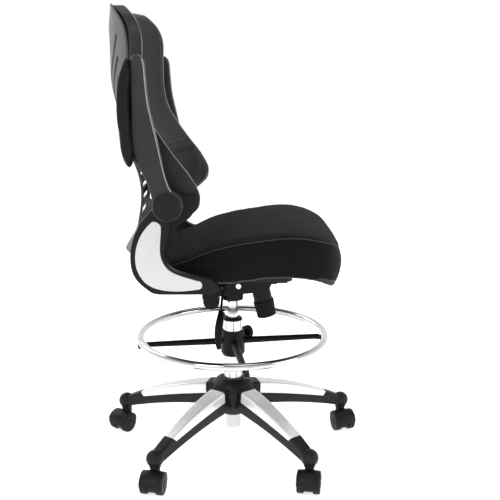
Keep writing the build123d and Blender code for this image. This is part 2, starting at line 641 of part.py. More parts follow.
def make_bracket(side):
    """C-shaped plate with a shallow pocket for its insert, a foot flange and a boss for the back."""
    with BuildPart() as bracket:
        with BuildSketch(side_plane(side * BRACKET_IN)):
            with BuildLine():
                add(bracket_outline())
            make_face()
            with Locations((PIVOT_X, PIVOT_Z)):
                Circle(EYE_RADIUS)
        extrude(amount=-side * (BRACKET_OUT - BRACKET_IN))
        # pocket, 6 deep
        with BuildSketch(side_plane(side * (BRACKET_OUT - 6))):
            with BuildLine():
                add(insert_outline())
            make_face()
        extrude(amount=-side * 7, mode=Mode.SUBTRACT)
        # inner gusset that carries the back
        with BuildSketch(side_plane(side * (BACK_HALF + 0.3))):
            with BuildLine():
                Spline(*GUSSET_FRONT)
                Polyline(GUSSET_FRONT[-1], (-150, 600), (-168, 640), (-150, 706), GUSSET_FRONT[0])
            make_face()
        extrude(amount=-side * (BRACKET_IN - BACK_HALF + 2))
        # foot flange under the seat
        with BuildSketch(Plane.XY.offset(FOOT_BOTTOM + 0.6)):
            with Locations((-96, side * (BRACKET_IN + 186) / 2)):
                Rectangle(116, BRACKET_IN - 186 + 8)
        extrude(amount=SEAT_UNDER - FOOT_BOTTOM - 0.6)
        with BuildSketch(side_plane(0)):
            with Locations((PIVOT_X, PIVOT_Z)):
                Circle(ARM_PIN_RADIUS)
        extrude(amount=-side * 400, mode=Mode.SUBTRACT)
        add(seat_bolts.part, mode=Mode.SUBTRACT)
        add(back_screws.part, mode=Mode.SUBTRACT)
    return bracket


def make_insert(side):
    with BuildPart() as insert:
        with BuildSketch(side_plane(side * (BRACKET_OUT - 6))):
            with BuildLine():
                add(insert_outline())
            make_face()
        extrude(amount=-side * 5)
        fillet(insert.faces().sort_by(Axis.Y)[-1 if side > 0 else 0].edges(), radius=2)
    return insert


for side, side_name in ((1, "left"), (-1, "right")):
    finish(make_bracket(side), f"bracket_{side_name}")
    finish(make_insert(side), f"bracket_insert_{side_name}")

# ---------------------------------------------------------------- arms
ARM_REAR = [(-191, 1006), (-201, 998), (-205, 975), (-205.5, 940), (-205, 905), (-199, 790), (-180, 749),
            (-166, 700)]
ARM_FRONT = [(-191, 1006), (-181, 999), (-175, 975), (-168, 897), (-159, 856), (-142, 774), (-120, 715),
             (-104, 700)]


def make_arm(side):
    with BuildPart() as arm:
        with BuildSketch(side_plane(side * ARM_IN)):
            with BuildLine():
                rear = Spline(*ARM_REAR)
                front = Spline(*ARM_FRONT)
                Polyline(rear @ 1, (PIVOT_X, PIVOT_Z), front @ 1)
            make_face()
            with Locations((PIVOT_X, PIVOT_Z)):
                Circle(EYE_RADIUS)
        extrude(amount=-side * (ARM_OUT - ARM_IN))
        with BuildSketch(side_plane(0)):
            with Locations((PIVOT_X, PIVOT_Z)):
                Circle(ARM_PIN_RADIUS + RUNNING)
        extrude(amount=-side * 400, mode=Mode.SUBTRACT)
    return arm


PAD_REAR = [(-206, 1002), (-217, 990), (-229, 930), (-231, 895), (-227, 835), (-221, 790), (-216, 776),
            (-207, 771)]
PAD_FRONT = [(-206, 1002), (-203.5, 975), (-207.5, 935), (-208.5, 905), (-206.5, 840), (-203, 790),
             (-207, 771)]
PAD_HALF = 38.0
ARM_MIDDLE = (ARM_IN + ARM_OUT) / 2


def make_pad(side):
    with BuildPart() as pad:
        with BuildSketch(side_plane(side * ARM_MIDDLE)):
            with BuildLine():
                Spline(*PAD_REAR)
                Spline(*PAD_FRONT)
            make_face()
        extrude(amount=PAD_HALF, both=True)
        with BuildSketch(Plane.YZ.offset(-300)):
            with Locations((side * ARM_MIDDLE, 887)):
                RectangleRounded(2 * PAD_HALF, 232, 30)
        extrude(amount=200, mode=Mode.INTERSECT)
    return pad


for side, side_name in ((1, "left"), (-1, "right")):
    arm = make_arm(side)
    finish(arm, f"arm_{side_name}")
    pad = make_pad(side)
    with BuildPart() as fitted_pad:
        add(pad.part)
        add(arm.part, mode=Mode.SUBTRACT)
    finish(fitted_pad, f"arm_pad_{side_name}")

with BuildPart() as arm_pivot_pins:
    for side in (1, -1):
        with BuildSketch(side_plane(side * (BRACKET_IN + 2))):
            with Locations((PIVOT_X, PIVOT_Z)):
                Circle(ARM_PIN_RADIUS)
        extrude(amount=-side * (ARM_OUT - BRACKET_IN - 2 + 1))
finish(arm_pivot_pins, "arm_pivot_pins")

with BuildPart() as arm_caps:
    for side in (1, -1):
        with BuildSketch(side_plane(side * (ARM_OUT + 1))):
            with Locations((PIVOT_X, PIVOT_Z)):
                Circle(CAP_RADIUS)
        extrude(amount=-side * 4)
    fillet(arm_caps.edges().filter_by(lambda e: abs(abs(e.center().Y) - ARM_OUT - 5) < 0.1), radius=2)
finish(arm_caps, "arm_caps")

# ---------------------------------------------------------------- back
# The sitting surface at a few heights: (height, X at the side edges, X in the middle).
SITTING_FACE = [(625, -128, -172), (660, -89, -157), (700, -72, -150), (740, -89, -155), (790, -126, -180),
                (830, -154, -205), (870, -177, -228), (920, -189, -243), (980, -191, -250),
                (1040, -190, -252), (1080, -198, -254), (1118, -219, -257)]
# The front of the rear shell, in the same way.
SHELL_FACE = [(535, -228, -262), (567, -217, -245), (588, -209, -233), (617, -200, -223), (675, -190, -215),
              (735, -190, -223), (820, -202, -250), (895, -208, -270), (960, -212, -281),
              (1040, -214, -281), (1075, -223, -280), (1100, -236, -274), (1122, -253, -262)]


def curved_slab(levels, front, rear, half=256.0):
    """A sheet that follows the levels: an arc in plan at each height, lofted upwards."""
    with BuildPart() as slab:
        for height, side_x, middle_x in levels:
            edge = middle_x + (side_x - middle_x) * (half / FACE_HALF) ** 2
            with BuildSketch(Plane.XY.offset(height)):
                with BuildLine():
                    near = ThreePointArc((edge + front, -half), (middle_x + front, 0), (edge + front, half))
                    far = ThreePointArc((edge + rear, -half), (middle_x + rear, 0), (edge + rear, half))
                    Line(near @ 0, far @ 0)
                    Line(near @ 1, far @ 1)
                make_face()
        loft()
    return slab.part


def front_view(bottom, top, half, corner, bottom_corner):
    """A rounded outline of the back, looking along X, extruded right through it."""
    with BuildPart() as block:
        with BuildSketch(Plane.YZ.offset(-400)):
            with Locations((0, (top + bottom) / 2)):
                Rectangle(2 * half, top - bottom)
        extrude(amount=420)
        fillet(block.edges().filter_by(Axis.X).group_by(Axis.Z)[-1], radius=corner)
        fillet(block.edges().filter_by(Axis.X).group_by(Axis.Z)[0], radius=bottom_corner)
    return block.part


# rear shell: wide and slotted at the top, a ladder at the waist, and wings at the foot
SHELL_OUTLINE = [(-238, 1112), (-238, 880), (-88, 775), (-82, 645), (-245, 610), (-245, 570), (-60, 546),
                 (60, 546), (245, 570), (245, 610), (82, 645), (88, 775), (238, 880), (238, 1112)]
SLOT_STEP = 46.0                 # height between neighbouring slanted slots
SLOT_WIDTH = 13.0
LADDER = [(633, 17), (668, 13), (697, 11), (725, 9)]     # height and width of each opening
LADDER_HALF = 58.0
with BuildPart() as back_shell:
    add(curved_slab(SHELL_FACE, 0, -SHELL_WALL))
    with BuildSketch(Plane.YZ.offset(-400)) as shell_outline:
        Polygon(*SHELL_OUTLINE, align=None)
        fillet(shell_outline.vertices().group_by(Axis.Y)[-1], radius=58)
        fillet(shell_outline.vertices().filter_by(lambda v: v.Y < 900), radius=15)
    extrude(amount=400, mode=Mode.INTERSECT)
    with BuildSketch(Plane.YZ.offset(-400)):
        for side in (1, -1):
            for row in range(3):
                outer_end = (side * 186, 1044 - row * SLOT_STEP)
                inner_end = (side * (98 + 12 * row), 946 - row * 0.9 * SLOT_STEP)
                SlotCenterPoint(((outer_end[0] + inner_end[0]) / 2, (outer_end[1] + inner_end[1]) / 2),
                                outer_end, SLOT_WIDTH)
        for height, width in LADDER:
            with Locations((0, height)):
                RectangleRounded(2 * LADDER_HALF, width, width * 0.4)
    extrude(amount=400, mode=Mode.SUBTRACT)
finish(back_shell, "back_shell")

# front frame: a rounded ring that follows the sitting surface, deeper at the sides low down
RIM_FRONT = 0.5
RIM_REAR = -22.0
INNER_BOTTOM = BACK_BOTTOM + 14
CHEEK_FRONT = [(-195, 930), (-181, 872), (-157, 830), (-123, 782), (-87, 732), (-76, 700), (-91, 662)]
frame_outer = front_view(BACK_BOTTOM - 8, FRAME_TOP, BACK_HALF, 70, 42)
frame_inner = front_view(INNER_BOTTOM - 8, FRAME_TOP - 14, BACK_HALF - FRAME_BAND, 58, 32)

with BuildPart() as back_frame:
    add(curved_slab(SITTING_FACE, RIM_FRONT, RIM_REAR))
    add(frame_outer, mode=Mode.INTERSECT)
    add(frame_inner, mode=Mode.SUBTRACT)
    for side in (1, -1):
        with BuildSketch(side_plane(side * (BACK_HALF - 10))):
            with BuildLine():
                cheek = Spline(*CHEEK_FRONT)
                Polyline(cheek @ 1, (-150, 660), (-170, 720), (-196, 850), (-208, 930), cheek @ 0)
            make_face()
        extrude(amount=-side * 10)
    add(back_shell.part, mode=Mode.SUBTRACT)
    add(back_screws.part, mode=Mode.SUBTRACT)
finish(back_frame, "back_frame")

with BuildPart() as lumbar_pad:
    add(curved_slab(SITTING_FACE, 5, -13))
    add(frame_inner, mode=Mode.INTERSECT)
    with BuildSketch(Plane.XY.offset(PANEL_TOP)):
        Rectangle(900, 900)
    extrude(amount=500, mode=Mode.SUBTRACT)
finish(lumbar_pad, "lumbar_pad")

with BuildPart() as back_mesh:
    add(curved_slab(SITTING_FACE, 0, -2))
    add(frame_inner, mode=Mode.INTERSECT)
    with BuildSketch(Plane.XY.offset(PANEL_TOP)):
        Rectangle(900, 900)
    extrude(amount=-500, mode=Mode.SUBTRACT)
finish(back_mesh, "back_mesh")
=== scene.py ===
# Drafting chair: the looks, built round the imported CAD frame.  Metres; +X is the way the sitter faces.
import json
from math import cos, pi, radians, sin

import bmesh
import bpy
import numpy as np
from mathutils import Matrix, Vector
from mathutils.bvhtree import BVHTree


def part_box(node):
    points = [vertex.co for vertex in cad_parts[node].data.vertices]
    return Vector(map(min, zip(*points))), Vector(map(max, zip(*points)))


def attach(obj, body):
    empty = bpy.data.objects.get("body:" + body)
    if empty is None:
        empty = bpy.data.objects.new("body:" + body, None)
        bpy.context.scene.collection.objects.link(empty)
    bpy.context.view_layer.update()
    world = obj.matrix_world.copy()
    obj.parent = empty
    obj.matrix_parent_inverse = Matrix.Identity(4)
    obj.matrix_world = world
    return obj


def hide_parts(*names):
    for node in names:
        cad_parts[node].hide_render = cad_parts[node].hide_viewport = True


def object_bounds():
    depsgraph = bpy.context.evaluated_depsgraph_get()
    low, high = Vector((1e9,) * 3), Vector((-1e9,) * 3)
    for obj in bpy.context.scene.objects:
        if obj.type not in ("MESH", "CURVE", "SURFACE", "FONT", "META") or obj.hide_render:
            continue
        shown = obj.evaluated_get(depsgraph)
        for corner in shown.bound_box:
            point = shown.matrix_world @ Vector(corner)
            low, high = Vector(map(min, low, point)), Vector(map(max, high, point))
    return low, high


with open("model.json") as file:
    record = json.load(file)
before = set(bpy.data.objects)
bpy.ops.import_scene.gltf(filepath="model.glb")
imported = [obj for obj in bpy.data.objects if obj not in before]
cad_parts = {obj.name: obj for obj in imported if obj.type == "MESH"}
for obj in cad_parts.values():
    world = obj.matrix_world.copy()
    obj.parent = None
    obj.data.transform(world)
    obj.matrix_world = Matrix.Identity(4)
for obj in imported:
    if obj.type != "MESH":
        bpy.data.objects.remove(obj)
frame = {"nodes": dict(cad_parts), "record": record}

CAD_LOW, CAD_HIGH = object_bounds()
MM = 0.001
WELD = 2e-6                     # points of a CAD mesh closer than this are one point
SIDES = (("left", 1), ("right", -1))
CASTERS = range(1, 6)
BODY_OF = {node: body for body, nodes in frame["record"]["behaviour"]["bodies"].items() for node in nodes}


# ------------------------------------------------------------------ camera, light, floor
CAMERA_PLACE = (0.0230, -2.0332, 0.9883)
CAMERA_DOWN = 0.2239                # radians below level
CAMERA_TURN = -0.0104
LENS = 59.3
# place, size, watts
LIGHTS = {"key": ((-1.4, -2.4, 2.6), 1.6, 36), "fill": ((2.4, -1.2, 1.4), 1.4, 16),
          "rear": ((-2.0, 1.8, 2.0), 1.6, 22), "overhead": ((0.2, 0.3, 3.2), 2.4, 34)}
# from the horizon up
SKY = [(0.30, (1.0, 1.0, 1.0, 1)), (0.70, (0.42, 0.42, 0.43, 1)), (0.90, (0.06, 0.06, 0.065, 1))]
FLOOR_HALF = 30
FLOOR_SHADE = 0.93
FLOOR_GLOW = 0.65


def make_camera():
    """The camera stands on the chair's right, a little above the seat, and looks slightly down."""
    data = bpy.data.cameras.new("camera")
    data.sensor_width = 36.0
    data.lens = LENS
    camera = bpy.data.objects.new("camera", data)
    camera.location = CAMERA_PLACE
    camera.rotation_euler = (pi / 2 - CAMERA_DOWN, 0, CAMERA_TURN)
    bpy.context.scene.collection.objects.link(camera)
    bpy.context.scene.camera = camera


def make_light(name, place, target, size, power):
    """A square soft box, aimed at the target."""
    data = bpy.data.lights.new(name, "AREA")
    data.size = size
    data.energy = power
    light = bpy.data.objects.new(name, data)
    light.location = place
    light.rotation_euler = (Vector(target) - Vector(place)).to_track_quat("-Z", "Y").to_euler()
    bpy.context.scene.collection.objects.link(light)


def make_stage():
    """A plain pale floor under a pale sky that darkens overhead, and four soft boxes."""
    middle = (CAD_LOW + CAD_HIGH) / 2
    for name, (place, size, power) in LIGHTS.items():
        make_light(name, place, middle, size, power)
    world = bpy.data.worlds.new("studio")
    world.use_nodes = True
    tree = world.node_tree
    background = tree.nodes["Background"]
    background.inputs["Strength"].default_value = 1.0
    coords = tree.nodes.new("ShaderNodeTexCoord")
    split = tree.nodes.new("ShaderNodeSeparateXYZ")
    ramp = tree.nodes.new("ShaderNodeValToRGB")
    tree.links.new(coords.outputs["Generated"], split.inputs[0])
    tree.links.new(split.outputs["Z"], ramp.inputs[0])
    tree.links.new(ramp.outputs[0], background.inputs["Color"])
    stops = ramp.color_ramp.elements
    stops[0].position, stops[0].color = SKY[0]
    stops[1].position, stops[1].color = SKY[1]
    stops.new(SKY[2][0]).color = SKY[2][1]
    bpy.context.scene.world = world
    bpy.context.scene.view_settings.view_transform = "Standard"
    corners = [(-FLOOR_HALF, -FLOOR_HALF, 0), (FLOOR_HALF, -FLOOR_HALF, 0), (FLOOR_HALF, FLOOR_HALF, 0),
               (-FLOOR_HALF, FLOOR_HALF, 0)]
    floor = mesh_piece("floor", corners, [(0, 1, 2, 3)])
    look = Look("floor_paper", (FLOOR_SHADE,) * 3, 0.9, specular=0.0)
    look.shader.inputs["Emission Color"].default_value = (1, 1, 1, 1)
    look.shader.inputs["Emission Strength"].default_value = FLOOR_GLOW
    look.mottle(0.01, 6.0)
    floor.data.materials.append(look.material)


# ------------------------------------------------------------------ procedural materials
class Look:
    """A Principled material, built up with procedural detail in object coordinates, which are metres."""

    def __init__(self, name, colour, roughness, metallic=0.0, specular=0.5):
        self.material = bpy.data.materials.new(name)
        self.material.use_nodes = True
        self.tree = self.material.node_tree
        self.shader = self.tree.nodes["Principled BSDF"]
        self.shader.inputs["Base Color"].default_value = (*colour, 1)
        self.shader.inputs["Roughness"].default_value = roughness
        self.shader.inputs["Metallic"].default_value = metallic
        self.shader.inputs["Specular IOR Level"].default_value = specular
        self.colour = colour
        self.roughness = roughness
        self.coords = self.tree.nodes.new("ShaderNodeTexCoord").outputs["Object"]
        self.normal = None

    def node(self, kind, **values):
        made = self.tree.nodes.new(kind)
        for key, value in values.items():
            setattr(made, key, value)
        return made

    def noise(self, scale, detail=4.0, stretch=None):
        """Fractal noise; scale is in features per metre."""
        texture = self.node("ShaderNodeTexNoise")
        texture.inputs["Scale"].default_value = scale
        texture.inputs["Detail"].default_value = detail
        source = self.coords
        if stretch:
            mapping = self.node("ShaderNodeMapping")
            mapping.inputs["Scale"].default_value = stretch
            self.tree.links.new(source, mapping.inputs["Vector"])
            source = mapping.outputs["Vector"]
        self.tree.links.new(source, texture.inputs["Vector"])
        return texture.outputs["Fac"]

    def span(self, value, low, high):
        """Value from 0..1 to low..high."""
        mapped = self.node("ShaderNodeMapRange")
        mapped.inputs["From Min"].default_value = 0.25
        mapped.inputs["From Max"].default_value = 0.75
        mapped.inputs["To Min"].default_value = low
        mapped.inputs["To Max"].default_value = high
        self.tree.links.new(value, mapped.inputs["Value"])
        return mapped.outputs["Result"]

    def tint(self, factor, colour):
        """Mixes the base colour so far with another one."""
        mix = self.node("ShaderNodeMix", data_type="RGBA")
        target = self.shader.inputs["Base Color"]
        if target.is_linked:
            self.tree.links.new(target.links[0].from_socket, mix.inputs[6])
        else:
            mix.inputs[6].default_value = target.default_value
        mix.inputs[7].default_value = (*colour, 1)
        self.tree.links.new(factor, mix.inputs[0])
        self.tree.links.new(mix.outputs[2], target)

    def mottle(self, amount, scale):
        """Uneven colour, as dye lots, dust and handling leave it."""
        other = tuple(min(1.0, c * (1 + amount) + 0.004 * amount) for c in self.colour)
        self.tint(self.span(self.noise(scale, 5.0), 0.0, 1.0), other)

    def rough(self, spread, scale, stretch=None):
        """Roughness that varies by +-spread."""
        value = self.span(self.noise(scale, 4.0, stretch), self.roughness - spread, self.roughness + spread)
        self.tree.links.new(value, self.shader.inputs["Roughness"])

    def bump(self, height, strength, distance):
        """Adds a layer of relief; distance is its depth in metres."""
        bump = self.node("ShaderNodeBump")
        bump.inputs["Strength"].default_value = strength
        bump.inputs["Distance"].default_value = distance
        self.tree.links.new(height, bump.inputs["Height"])
        if self.normal:
            self.tree.links.new(self.normal, bump.inputs["Normal"])
        self.normal = bump.outputs["Normal"]
        self.tree.links.new(self.normal, self.shader.inputs["Normal"])

    def grain(self, scale, strength, distance):
        """Fine relief from noise."""
        self.bump(self.noise(scale, 3.0), strength, distance)

    def threads(self, direction, pitch):
        """Rounded bands across a direction, one every pitch."""
        dot = self.node("ShaderNodeVectorMath", operation="DOT_PRODUCT")
        dot.inputs[1].default_value = direction
        self.tree.links.new(self.coords, dot.inputs[0])
        turn = self.node("ShaderNodeMath", operation="MULTIPLY")
        turn.inputs[1].default_value = 2 * pi / pitch
        self.tree.links.new(dot.outputs["Value"], turn.inputs[0])
        wave = self.node("ShaderNodeMath", operation="SINE")
        self.tree.links.new(turn.outputs[0], wave.inputs[0])
        scaled = self.node("ShaderNodeMath", operation="MULTIPLY_ADD")
        scaled.inputs[1].default_value = 0.5
        scaled.inputs[2].default_value = 0.5
        self.tree.links.new(wave.outputs[0], scaled.inputs[0])
        return scaled.outputs[0]

    def join(self, a, b, operation):
        """Two values through one arithmetic node."""
        made = self.node("ShaderNodeMath", operation=operation)
        self.tree.links.new(a, made.inputs[0])
        self.tree.links.new(b, made.inputs[1])
        return made.outputs[0]

    def weave(self, warp, weft, pitch_warp, pitch_weft, strength, distance, painted_gap_shade=None):
        """Two sets of threads over each other, and painted shade darkening the gaps between them."""
        height = self.join(self.threads(warp, pitch_warp), self.threads(weft, pitch_weft), "MULTIPLY")
        self.bump(height, strength, distance)
        if painted_gap_shade:
            # the gaps take a darker colour: painted shade between the threads
            inverse = self.node("ShaderNodeMath", operation="SUBTRACT")
            inverse.inputs[0].default_value = 1.0
            self.tree.links.new(height, inverse.inputs[1])
            self.tint(inverse.outputs[0], painted_gap_shade)

    def wear(self, colour, amount):
        """Edges rubbed lighter."""
        geometry = self.node("ShaderNodeNewGeometry")
        ramp = self.node("ShaderNodeMapRange")
        ramp.inputs["From Min"].default_value = 0.54
        ramp.inputs["From Max"].default_value = 0.62
        ramp.inputs["To Max"].default_value = amount
        self.tree.links.new(geometry.outputs["Pointiness"], ramp.inputs["Value"])
        patchy = self.join(ramp.outputs["Result"], self.span(self.noise(90.0), 0.2, 1.0), "MULTIPLY")
        self.tint(patchy, colour)


def plastic(name, shade, roughness, specular, grain=2200.0, relief=0.12):
    """Moulded nylon or polypropylene with a fine spark-eroded texture, rubbed lighter on its edges."""
    look = Look(name, (shade, shade, shade * 1.03), roughness, specular=specular)
    look.mottle(0.25, 14.0)
    look.rough(0.06, 60.0)
    look.grain(grain, relief, 0.0002)
    look.grain(60.0, 0.04, 0.0006)
    look.wear((shade * 3 + 0.02,) * 3, 0.35)
    return look.material


def metal(name, shade, roughness, spread, brushed=None, relief=0.02, metallic=1.0):
    """Plated or machined steel; brushed is the stretch of its fine lines."""
    look = Look(name, (shade, shade, shade * 1.01), roughness, metallic=metallic)
    look.tint(look.span(look.noise(26.0, 3.0), 0.0, 1.0), (shade * 0.93, shade * 0.93, shade * 0.94))
    look.rough(spread, 45.0, brushed)
    look.bump(look.noise(900.0, 3.0, brushed), relief, 0.0001)
    return look.material


def cloth(name, shade, pitch, relief, fuzz):
    """Close woven cloth: crossing threads with painted shade in their gaps, uneven dye and a soft sheen."""
    look = Look(name, (shade, shade, shade * 1.02), 0.85, specular=0.15)
    look.shader.inputs["Sheen Weight"].default_value = fuzz
    look.shader.inputs["Sheen Roughness"].default_value = 0.45
    look.mottle(0.4, 9.0)
    # gaps at 0.55 of the threads' shade: painted shade between the threads
    look.weave((1, 0, 0), (0, 0.8, 1), pitch, pitch, relief, 0.0005, (shade * 0.55,) * 3)
    look.grain(3000.0, 0.3, 0.0003)
    look.rough(0.06, 30.0)
    return look.material


# shade, roughness, specular; then the grain's features per metre and its relief
PLASTICS = {
    "base_nylon": (0.007, 0.46, 0.22),
    "black_plastic": (0.0035, 0.44, 0.13),
    "bracket_plastic": (0.006, 0.44, 0.16, 2600.0, 0.10),
    "shell_plastic": (0.070, 0.42, 0.2, 2600.0, 0.10),
    "frame_plastic": (0.009, 0.45, 0.25),
    "arm_plastic": (0.021, 0.45, 0.2, 2400.0, 0.12),
    "caster_nylon": (0.006, 0.45, 0.2),
    "wheel_nylon": (0.007, 0.50, 0.2),
    "seat_board": (0.012, 0.55, 0.25),
    "lever_steel": (0.012, 0.32, 0.3, 1500.0, 0.05),
    "mech_steel": (0.005, 0.46, 0.16, 1500.0, 0.25),
    # light grey for the thin beads on the back frame and arms: a painted highlight along their edges
    "bead": (0.22, 0.35, 0.4, 1800.0, 0.10),
}
# shade, roughness, spread of the roughness; then the stretch of the brushed lines and their relief
METALS = {
    "chrome_tube": (0.68, 0.09, 0.03),
    "bearing_steel": (0.55, 0.30, 0.08, (1, 1, 12), 0.05),
    "pin_steel": (0.72, 0.24, 0.06, (12, 1, 12), 0.05),
    "screw_steel": (0.10, 0.38, 0.08, (8, 8, 1), 0.05),
}
# shade, pitch of the threads, relief, sheen
CLOTHS = {
    "seat_fabric": (0.0032, 0.0016, 0.35, 0.018),
    "lumbar_fabric": (0.013, 0.0015, 0.3, 0.06),
    # piping and hem are a lighter grey than the cover: painted highlights along the seam and the lower edge
    "highlight_piping": (0.040, 0.0012, 0.3, 0.1),
    "highlight_hem": (0.085, 0.0012, 0.3, 0.1),
}


def net_material():
    """Open knitted net, its gaps darkened with painted shade."""
    look = Look("mesh_fabric", (0.023, 0.023, 0.024), 0.68, specular=0.14)
    look.shader.inputs["Sheen Weight"].default_value = 0.06
    look.mottle(0.3, 7.0)
    # gaps darker than the threads: painted shade between them
    look.weave((0, 0, 1), (0, 1, 0), 0.0030, 0.0023, 0.6, 0.0008, (0.010, 0.010, 0.010))
    return look.material


def pad_material():
    """Soft moulded skin with a leather grain."""
    look = Look("arm_pad", (0.0035, 0.0035, 0.0037), 0.52, specular=0.16)
    look.mottle(0.3, 12.0)
    cells = look.node("ShaderNodeTexVoronoi", feature="DISTANCE_TO_EDGE")
    cells.inputs["Scale"].default_value = 700.0
    look.tree.links.new(look.coords, cells.inputs["Vector"])
    look.bump(cells.outputs["Distance"], 0.25, 0.0004)
    look.rough(0.05, 50.0)
    return look.material


def build_materials():
    """Every material by name: one for each slot, and the finer looks of beads and welts, whose light grey
    is a painted highlight.
    """
    looks = {"mesh_fabric": net_material(), "arm_pad": pad_material()}
    for make, table in ((plastic, PLASTICS), (metal, METALS), (cloth, CLOTHS)):
        for name, values in table.items():
            looks[name] = make(name, *values)
    # chrome covers near white and only partly metallic: a painted reflection of the pale floor and sky in
    # place of a mirror finish
    looks["chrome_cover"] = metal("chrome_cover", 0.92, 0.26, 0.03, metallic=0.35)
    looks["chrome_insert"] = metal("chrome_insert", 0.60, 0.26, 0.03, metallic=0.85)
    return looks


# ------------------------------------------------------------------ mesh tools
def mesh_piece(name, verts, faces):
    """A smooth shaded mesh object in the scene."""
    data = bpy.data.meshes.new(name)
    data.from_pydata([tuple(v) for v in verts], [], [tuple(f) for f in faces])
    data.update()
    piece = bpy.data.objects.new(name, data)
    bpy.context.scene.collection.objects.link(piece)
    shade_smooth(piece)
    return piece


def shade_smooth(piece):
    """Smooth shading on every face."""
    for polygon in piece.data.polygons:
        polygon.use_smooth = True


def strips(rows, count, closed=True):
    """Quads between neighbouring rows of count points each; a closed row is a ring."""
    faces = []
    for r in range(rows - 1):
        for i in range(count if closed else count - 1):
            j = (i + 1) % count
            faces.append((r * count + i, r * count + j, (r + 1) * count + j, (r + 1) * count + i))
    return faces


def tidy(piece, sharp=None):
    """Normals outwards; edges sharper than the angle stay sharp."""
    mesh = bmesh.new()
    mesh.from_mesh(piece.data)
    bmesh.ops.recalc_face_normals(mesh, faces=mesh.faces)
    mesh.to_mesh(piece.data)
    mesh.free()
    if sharp is not None:
        piece.data.set_sharp_from_angle(angle=radians(sharp))


def apply_modifiers(piece):
    """Leaves the piece with its final mesh and no modifier."""
    graph = bpy.context.evaluated_depsgraph_get()
    final = bpy.data.meshes.new_from_object(piece.evaluated_get(graph))
    piece.modifiers.clear()
    piece.data = final


def dress(piece, body, slot, replaced=(), look=None):
    """Rides the body, takes the slot's material or another look, and stands for the named CAD nodes."""
    piece.data.materials.clear()
    piece.data.materials.append(LOOKS[look or slot])
    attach(piece, body)
    if replaced:
        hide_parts(*replaced)
    return piece


HARD_EDGE = radians(38)                   # edges sharper than this are rounded
BEVEL_SHARES = (1.0, 0.6, 0.35, 0.2)      # shares of the wanted width, tried in turn
BEVEL_STRAY = 0.75                        # a bevel may leave the surface by this share of its width


def bevelled(source, width):
    """A mesh with its hard edges rounded, or None where the bevel runs away from the surface."""
    mesh = bmesh.new()
    mesh.from_mesh(source.data)
    bmesh.ops.remove_doubles(mesh, verts=mesh.verts, dist=WELD)
    bmesh.ops.dissolve_limit(mesh, angle_limit=radians(0.4), verts=mesh.verts, edges=mesh.edges)
    surface = BVHTree.FromBMesh(mesh)
    edges = [e for e in mesh.edges if len(e.link_faces) == 2 and e.calc_face_angle(0) > HARD_EDGE]
    bmesh.ops.bevel(mesh, geom=edges, offset=width, segments=3, profile=0.5, affect="EDGES",
                    clamp_overlap=False, offset_type="OFFSET")
    bmesh.ops.recalc_face_normals(mesh, faces=mesh.faces)
    stray = max(surface.find_nearest(v.co)[3] for v in mesh.verts)
    if stray > width * BEVEL_STRAY:
        mesh.free()
        return None
    return mesh


def rounded(node, width):
    """A copy of a CAD node with its hard edges rounded, which replaces it; none where no width will do."""
    for share in BEVEL_SHARES:
        mesh = bevelled(frame["nodes"][node], width * share)
        if mesh:
            break
    if mesh is None:
        return
    data = bpy.data.meshes.new(node + "_rounded")
    mesh.to_mesh(data)
    mesh.free()
    piece = bpy.data.objects.new(node + "_rounded", data)
    bpy.context.scene.collection.objects.link(piece)
    weigh(piece, 32)
    dress(piece, BODY_OF[node], SLOT_OF[node], (node,))


def weigh(piece, sharp):
    """Smooth shading that leaves flat faces flat."""
    shade_smooth(piece)
    piece.data.set_sharp_from_angle(angle=radians(sharp))
    weighted = piece.modifiers.new("weighted", "WEIGHTED_NORMAL")
    weighted.keep_sharp = True
    apply_modifiers(piece)


def smooth_rows(rows, x):
    """A smooth curve through (x, value) rows, at x, which may be an array."""
    xs, ys = np.array(rows, float).T
    slopes = np.gradient(ys, xs)
    x = np.clip(x, xs[0], xs[-1])
    i = np.clip(np.searchsorted(xs, x) - 1, 0, len(xs) - 2)
    step = xs[i + 1] - xs[i]
    t = (x - xs[i]) / step
    return ((1 + 2 * t) * (1 - t) ** 2 * ys[i] + t * (1 - t) ** 2 * step * slopes[i]
            + t * t * (3 - 2 * t) * ys[i + 1] + t * t * (t - 1) * step * slopes[i + 1])


def evenly(points, count, closed=True):
    """The polyline's points, moved to even steps along it."""
    line = np.array(points, float)
    if closed:
        line = np.vstack([line, line[:1]])
    run = np.concatenate([[0], np.cumsum(np.linalg.norm(np.diff(line, axis=0), axis=1))])
    stops = np.linspace(0, run[-1], count, endpoint=not closed)
    return np.column_stack([np.interp(stops, run, line[:, k]) for k in range(line.shape[1])])


def outwards(outline):
    """Unit outward normals of a closed outline in two coordinates, anticlockwise."""
    ahead = np.roll(outline, -1, axis=0) - np.roll(outline, 1, axis=0)
    normal = np.column_stack([ahead[:, 1], -ahead[:, 0]])
    area = np.sum(outline[:, 0] * np.roll(outline[:, 1], -1) - outline[:, 1] * np.roll(outline[:, 0], -1))
    return normal / np.linalg.norm(normal, axis=1)[:, None] * (1 if area > 0 else -1)


def ring_skin(name, rings):
    """A closed skin over equally long rings of points; the first and last shrink to a point each."""
    verts = [tuple(p) for ring in rings for p in ring]
    piece = mesh_piece(name, verts, strips(len(rings), len(rings[0])))
    mesh = bmesh.new()
    mesh.from_mesh(piece.data)
    bmesh.ops.remove_doubles(mesh, verts=mesh.verts, dist=1e-6)
    bmesh.ops.recalc_face_normals(mesh, faces=mesh.faces)
    mesh.to_mesh(piece.data)
    mesh.free()
    shade_smooth(piece)
    return piece


